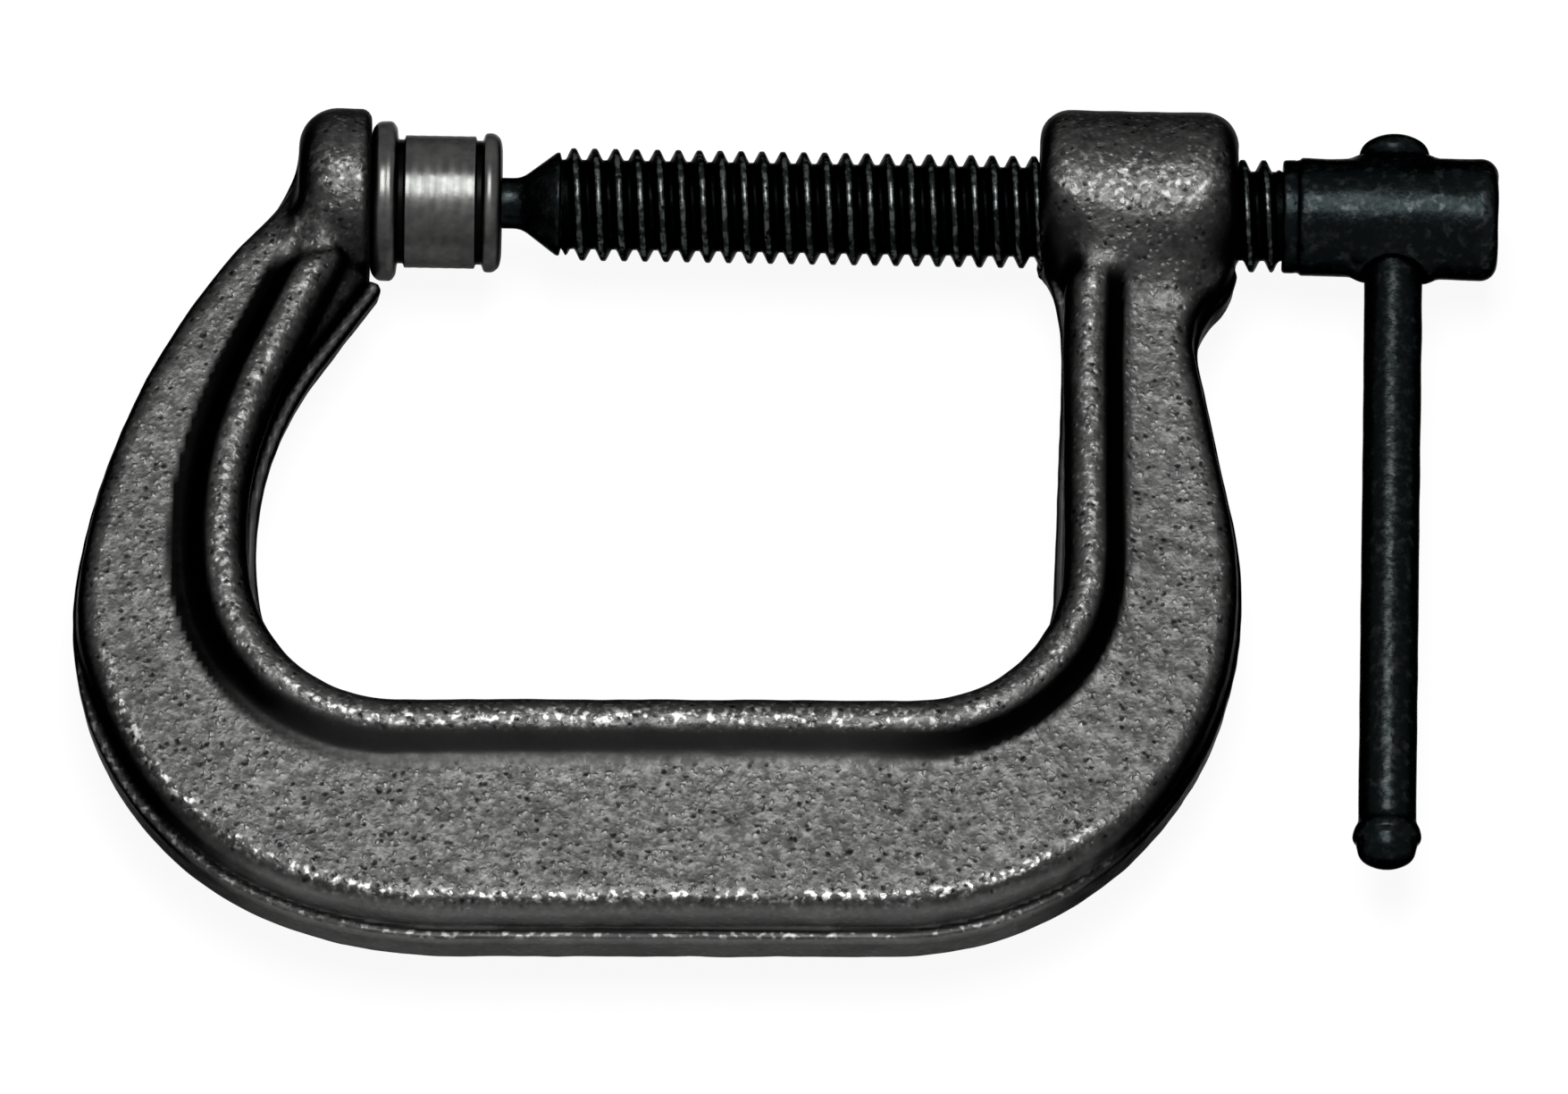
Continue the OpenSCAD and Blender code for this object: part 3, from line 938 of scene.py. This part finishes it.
@dataclass
class Spindle:
    """The screw: a ball, neck and cone, a thread, and a head with a cross hole for the bar."""

    pitch: float = 2.36
    outer: float = 6.35
    root: float = 5.05
    crest: float = 0.5
    valley: float = 0.55
    first_crest: float = 22.63
    ball_x: float = 9.3
    ball: float = 4.6
    neck: float = 2.87
    cone: tuple[float, float] = (17.0, 21.2)
    thread: tuple[float, float] = (21.5, 102.9)
    collar: float = 6.45
    head: tuple[float, float, float] = (102.9, 127.22, 6.92)
    groove_x: float = 104.7
    bar_x: float = 115.5
    hole: float = 3.45
    sides: int = 96
    rows: int = 16

    def thread_height(self, off: Array) -> Array:
        """Height of the thread, from 0 at its root to 1 at its crest, off turns from the crest.

        The flanks are straight. The crest's corners and the valley are smoothed by averaging the
        straight profile over a short window.
        """
        half, foot = self.crest / 2.0 / self.pitch, 0.5 - self.valley / 2.0 / self.pitch
        window = np.linspace(-0.035, 0.035, 7)[:, None, None]
        away = np.abs((off[None] + window + 0.5) % 1.0 - 0.5)
        return np.clip((foot - away) / (foot - half), 0.0, 1.0).mean(axis=0)

    def thread_surface(self) -> Surface:
        """The threaded stretch.

        The grid's rows run along the helix: row k at angle a lies at q = k / rows + a / 2 pi turns.
        q is held between the stretch's two ends, so that the first and last rows close up to plain
        circles. The radius is the root's plus the thread's height at that phase of a turn, which
        grows over the first turn and fades over the last.
        """
        start, end = self.thread
        turns = (end - start) / self.pitch
        lead = (self.first_crest - start) / self.pitch
        row = np.arange(-self.rows, math.ceil(turns + 1) * self.rows) / self.rows
        step = np.linspace(0.0, 1.0, self.sides + 1)
        q = np.clip(row[:, None] + step[None, :], 0.0, turns)
        height = self.thread_height(q - step[None, :] - lead)
        fade = soft_step(0.0, 0.35, q) * soft_step(0.0, 0.5, turns - q)
        radius = self.root + (self.outer - self.root) * height * fade
        angle = 2.0 * math.pi * step
        points = Axis.SCREW.place(start + self.pitch * q, radius * np.cos(angle), radius * np.sin(angle))
        count, across = q.shape
        i, j = np.meshgrid(np.arange(count - 1), np.arange(across - 1), indexing="ij")
        first = i * across + j
        faces = np.stack([first, first + 1, first + across + 1, first + across], -1)
        height = (height * fade).reshape(-1)
        # Painted shade darkens the thread's flanks and valleys; the crests are rubbed bright.
        values = {"tone_and_painted_light": 0.10 + 0.90 * soft_step(0.45, 0.90, height),
                  "marks_and_painted_light": 0.7 * soft_step(0.72, 0.96, height)}
        return Surface(points.reshape(-1, 3), faces.reshape(-1, 4), values).welded()

    def nose(self) -> Array:
        """Profile from the tip of the ball to the start of the thread."""
        tilt = np.linspace(0.0, math.pi - math.asin(self.neck / self.ball), 24)
        ball = np.stack([self.ball_x - self.ball * np.cos(tilt), self.ball * np.sin(tilt)], axis=1)
        rest = smoothed([
            (*ball[-1], 0), (self.cone[0], self.neck, 0.9),
            (self.cone[1] - 0.3, self.outer - 0.55, 0.9),
            (self.cone[1] + 0.1, self.outer - 0.5, 0.3), (self.thread[0], self.root, 0)])
        return np.concatenate([ball, rest[1:]])

    def head_shape(self, x: Array, y: Array, z: Array) -> Array:
        """The head: a collar, a thin groove and a rod with a rounded end, with a cross hole.

        The metal swells a little round the hole where it was upset on the handle's side.

        Args:
            x: The points' first coordinate.
            y: Their second.
            z: Their third.

        Returns:
            The field, negative inside.
        """
        r = np.hypot(y, z)
        taper = self.head[2] - 0.3 * (1.0 - (x - self.head[0]) / (self.head[1] - self.head[0]))
        taper = taper - (self.head[2] - self.collar - 0.2) * soft_step(self.groove_x, self.groove_x - 0.2, x)
        taper = taper - 0.28 * bell(x, self.groove_x, 0.22)
        rod = rounded_rod(x, r - taper, self.head[:2], 0.0, (0.35, 2.0))
        across = np.hypot(x - self.bar_x, z)
        lip = np.hypot(np.maximum(across - self.hole - 0.5, 0.0), r - taper + 0.2) - 0.55
        rod = join(rod, lip, 1.6)
        uneven = 0.025 * ripples(x, y, z, 4.5, 8, 21)
        return meet(rod + uneven, self.hole - across, 0.5)

    def head_surface(self) -> Surface:
        """The head's skin, contoured."""
        step = 0.3
        reach = self.head[2] + 1.0
        levels = [np.arange(self.head[0] - 0.7, self.head[1] + 0.9, step)]
        levels += [np.arange(-reach, reach + step, step)] * 2
        skin = contour(self.head_shape, tuple(levels))
        x, y, z = skin.points.T
        r = np.hypot(y, z)
        off_bar = np.hypot(x - self.bar_x, z)
        lip = soft_step(1.2, 0.2, np.abs(off_bar - self.hole - 0.3)) * soft_step(6.0, 6.5, r)
        rim = soft_step(0.9, 0.2, np.abs(self.head[1] - 1.3 - x)) * soft_step(5.6, 6.2, r)
        groove = soft_step(0.35, 0.1, np.abs(x - self.groove_x))
        hole = soft_step(self.hole + 0.3, self.hole + 0.05, off_bar) * (np.abs(y) < 7.0)
        # Painted shade in the groove and round the cross hole.
        skin.values["tone_and_painted_light"] = 1.0 - 0.9 * np.maximum(groove, hole)
        # The lip and the end's rim are rubbed bright; the rim also stands in for its highlight.
        skin.values["marks_and_painted_light"] = np.maximum(0.05 * lip, 0.2 * rim)
        return skin

    def build(self) -> bpy.types.Object:
        """Makes the spindle as one piece and dresses it."""
        nose = revolved(self.nose(), Axis.SCREW, self.sides)
        inner_end = np.array([(self.thread[1], self.root), (self.thread[1] + 0.6, self.root),
                              (self.thread[1] + 0.6, 0.0)])
        tail = revolved(inner_end, Axis.SCREW, self.sides)
        for plain in (nose, tail):
            plain.values = {"tone_and_painted_light": np.full(len(plain.points), 1.1), "marks_and_painted_light": np.full(len(plain.points), 0.04)}
        shank = nose.joined(self.thread_surface()).joined(tail).welded()
        return shank.joined(self.head_surface()).piece("screw_spindle", BlackOxide().material())


@dataclass
class SwivelPad:
    """The turned pad: a flange, a body between two grooves and a lip closed over the ball."""

    face: float = 0.1
    crown: float = 0.08
    length: float = 14.7
    flange: float = 9.05
    body: float = 7.5
    ball_x: float = 9.3
    socket: float = 4.75
    mouth: float = 3.9
    feed: float = TurnedSteel.feed

    def profile(self) -> Array:
        """From the middle of the face out over the flange, along the body and into the socket."""
        a, b = self.face, self.face + self.length
        rings = np.linspace(a + 3.95, b - 3.2, 60)
        turned = self.body - 0.03 + 0.012 * np.cos(2.0 * math.pi * (rings - a) / self.feed)
        front = smoothed([
            (a - self.crown, 0.0, 0), (a - self.crown, self.flange - 1.0, 0.7),
            (a + 0.7, self.flange - 0.04, 0.6), (a + 2.3, self.flange - 0.02, 0.4),
            (a + 2.8, self.flange - 0.75, 0.3),
            (a + 2.95, self.body - 0.5, 0.15), (a + 3.6, self.body - 0.5, 0.15),
            (a + 3.75, self.body - 0.02, 0.12), (rings[0], turned[0], 0)], 5)
        back = smoothed([
            (rings[-1], turned[-1], 0), (b - 3.05, self.body - 0.04, 0.1), (b - 2.9, self.body - 0.5, 0.12),
            (b - 2.25, self.body - 0.5, 0.15), (b - 1.95, self.body + 0.34, 0.3),
            (b - 0.95, self.body + 0.38, 0.5), (b - 0.25, self.body - 0.2, 0.6),
            (b, self.body - 1.3, 0.5), (b, self.mouth + 1.0, 0.3), (b - 0.45, self.mouth, 0.15)], 5)
        half = math.asin(self.mouth / self.socket)
        tilt = np.linspace(half, math.pi, 22)
        socket = np.stack([self.ball_x + self.socket * np.cos(tilt), self.socket * np.sin(tilt)], axis=1)
        return np.concatenate([front[:-1], np.stack([rings, turned], axis=1), back[1:], socket])

    def build(self) -> bpy.types.Object:
        """Makes the pad and dresses it with painted shade in its grooves, on the flange's slopes and at its
        end; its side to the back bar is dull.
        """
        pad = revolved(self.profile(), Axis.SCREW, 160)
        x, r = pad.points[:, 0] - self.face, np.hypot(pad.points[:, 1], pad.points[:, 2])
        groove = soft_step(self.body - 0.06, self.body - 0.3, r) * (x > 1.5)
        slopes = np.maximum(soft_step(0.6, 0.2, x), soft_step(2.4, 2.7, x) * soft_step(3.9, 3.7, x))
        end = soft_step(self.length - 0.75, self.length - 0.35, x)
        # Painted shade in the grooves, on the flange's slopes and at the back end.
        pad.values["marks_and_painted_light"] = np.maximum(np.maximum(groove, 0.9 * slopes), 0.85 * end)
        pad.values["dull"] = soft_step(-1.5, -4.5, pad.points[:, 1])
        return pad.piece("swivel_pad_surface", TurnedSteel().material())


@dataclass
class TommyBar:
    """The handle: a plain bar with both ends upset after it is put through the head."""

    x: float = 115.5
    radius: float = 3.27
    top: float = 9.8
    length: float = 90.0
    painted_highlight_half_width: float = 1.6

    def profile(self) -> Array:
        """From the lower end to the upper: knob, bar, knob."""
        a, b = self.top - self.length, self.top
        return smoothed([
            (a, 0.0, 0), (a + 0.02, 1.6, 1.2), (a + 0.9, 3.1, 1.1), (a + 2.3, 3.42, 0.5),
            (a + 2.7, 3.5, 0.3), (a + 3.2, 3.92, 0.5), (a + 4.1, 3.78, 0.5),
            (a + 5.1, self.radius, 0.9), (a + 8.0, self.radius, 0),
            (b - 3.6, self.radius, 0.3), (b - 2.9, 3.85, 0.35), (b - 2.2, 4.05, 0.5), (b - 1.2, 3.75, 0.7),
            (b - 0.35, 2.6, 0.9), (b - 0.02, 1.3, 0.7), (b, 0.0, 0)], 6)

    def build(self) -> bpy.types.Object:
        """Makes the bar and dresses it."""
        line = self.profile()
        spans = [np.linspace(p, q, max(2, int(np.linalg.norm(q - p) / 1.5)), endpoint=False)
                 for p, q in zip(line[:-1], line[1:])]
        bar = revolved(np.concatenate([*spans, line[-1:]]), Axis.BAR, 96)
        y, z = bar.points[:, 1], bar.points[:, 2]
        uneven = 1.0 + 0.006 * ripples(bar.points[:, 0], y, z, 7.0, 8, 13)
        bar.points[:, 0] *= uneven
        bar.points[:, 2] *= uneven
        bar.points[:, 0] += self.x
        ends = np.maximum(soft_step(self.top - 3.5, self.top - 1.5, y),
                          soft_step(self.top - self.length + 5.0, self.top - self.length + 2.5, y))
        # Painted highlight: a streak along the bar's top and bottom lines, past the head. The knobs are
        # rubbed a little.
        along = soft_step(self.painted_highlight_half_width, 0.0, np.abs(bar.points[:, 0] - self.x)) * (1.0 - ends)
        bar.values["marks_and_painted_light"] = 0.04 * ends + 0.16 * along * soft_step(-4.0, -9.0, y)
        bar.values["tone_and_painted_light"] = np.full(len(y), 0.9)
        return bar.piece("tommy_bar", BlackOxide("black_oxide_bar").material())


# --------------------------------------------------------------------- studio


@dataclass
class Studio:
    """A pale floor, a softbox overhead, a pale surround and a long-lens camera."""

    tilt: float = 25.0
    roll: float = 1.0
    aim: tuple[float, float, float] = (0.0473, -0.0422, 0.0)
    span: float = 0.17638
    distance: float = 5.0
    lamp_tilt: float = 6.5
    lamp_distance: float = 0.85
    lamp_size: tuple[float, float] = (0.42, 0.52)
    lamp_radiance: float = 17.0
    ambient: float = 0.2
    floor_glow: float = 0.93

    def camera(self) -> None:
        """A camera that looks down on the clamp from the back bar's side, tilted off square."""
        data = bpy.data.cameras.new("camera")
        data.sensor_width = 36.0
        data.lens = data.sensor_width * self.distance / self.span
        data.clip_end = 20.0
        made = shown("camera", data)
        e, a = math.radians(self.tilt), math.radians(self.roll)
        right = Vector((math.cos(a), math.sin(a) * math.cos(e), math.sin(a) * math.sin(e)))
        up = Vector((-math.sin(a), math.cos(a) * math.cos(e), math.cos(a) * math.sin(e)))
        back = right.cross(up)
        turn = Matrix((right, up, back)).transposed().to_4x4()
        made.matrix_world = Matrix.Translation(Vector(self.aim) + back * self.distance) @ turn
        bpy.context.scene.camera = made

    def softbox(self) -> None:
        """An oblong lamp overhead, as bright as its radiance says whatever its size."""
        data = bpy.data.lights.new("softbox", "AREA")
        data.shape = "RECTANGLE"
        data.size, data.size_y = self.lamp_size
        data.energy = self.lamp_radiance * math.pi * data.size * data.size_y
        made = shown("softbox", data)
        tilt = math.radians(self.lamp_tilt)
        toward = Vector((0.0, math.sin(tilt), math.cos(tilt)))
        place = Matrix.Translation(Vector(self.aim) + toward * self.lamp_distance)
        made.matrix_world = place @ toward.to_track_quat("Z", "Y").to_matrix().to_4x4()

    @staticmethod
    def seen(tree: bpy.types.NodeTree) -> bpy.types.NodeSocket:
        """1 for camera, glossy and transmission rays, and 0 for the others."""
        path = add_node(tree, "ShaderNodeLightPath").outputs
        total = path["Is Camera Ray"]
        for name in ("Is Glossy Ray", "Is Transmission Ray"):
            most = add_node(tree, "ShaderNodeMath", {0: total, 1: path[name]}, operation="MAXIMUM")
            total = most.outputs[0]
        return total

    def surround(self) -> None:
        """A white world that lights the clamp only faintly."""
        world = bpy.data.worlds.new("surround")
        world.use_nodes = True
        tree = world.node_tree
        strength = add_node(tree, "ShaderNodeMapRange", {
            "Value": self.seen(tree), "To Min": self.ambient, "To Max": 1.0})
        tree.links.new(strength.outputs["Result"], tree.nodes["Background"].inputs["Strength"])
        tree.nodes["Background"].inputs["Color"].default_value = (1.0, 1.0, 1.0, 1.0)
        bpy.context.scene.world = world

    def floor(self) -> None:
        """A white floor under the clamp. What the camera sees glows white and keeps some shadow."""
        low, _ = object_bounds()
        half = 3.0
        mesh = bpy.data.meshes.new("floor")
        mesh.from_pydata([(-half, -half, low.z), (half, -half, low.z), (half, half, low.z),
                          (-half, half, low.z)], [], [(0, 1, 2, 3)])
        made = shown("floor", mesh)
        material = bpy.data.materials.new("floor")
        material.use_nodes = True
        tree = material.node_tree
        tree.nodes.remove(tree.nodes["Principled BSDF"])
        diffuse = add_node(tree, "ShaderNodeBsdfDiffuse", {"Color": (0.9, 0.9, 0.9, 1.0)})
        glow = add_node(tree, "ShaderNodeEmission", {"Strength": 1.0})
        amount = add_node(tree, "ShaderNodeMath", {0: self.seen(tree), 1: self.floor_glow},
                          operation="MULTIPLY")
        mix = add_node(tree, "ShaderNodeMixShader", {
            0: amount.outputs[0], 1: diffuse.outputs[0], 2: glow.outputs[0]})
        tree.links.new(mix.outputs[0], tree.nodes["Material Output"].inputs["Surface"])
        mesh.materials.append(material)
        made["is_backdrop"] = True

    def build(self) -> None:
        """Sets up the whole studio."""
        bpy.context.scene.view_settings.view_transform = "Standard"
        self.camera()
        self.softbox()
        self.surround()
        self.floor()


# ----------------------------------------------------------------------- main


def main() -> None:
    """Sets up the studio, then builds the clamp piece by piece and logs each piece's points and faces."""
    logging.basicConfig(level=logging.INFO, format="%(name)s: %(message)s")
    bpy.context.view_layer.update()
    Studio().build()
    plan = (
        (ForgedFrame(), "frame", "frame", "forged_steel"),
        (Spindle(), "spindle", "screw", "black_oxide_steel"),
        (SwivelPad(), "swivel_pad", "pad", "turned_steel"),
        (TommyBar(), "handle", "handle", "black_oxide_bar"),
    )
    for maker, node, body, slot in plan:
        piece = maker.build()
        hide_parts(node)
        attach(piece, body)
        log.info("%s: %d points, %d faces", piece.name, len(piece.data.vertices), len(piece.data.polygons))


if __name__ == "__main__":
    main()
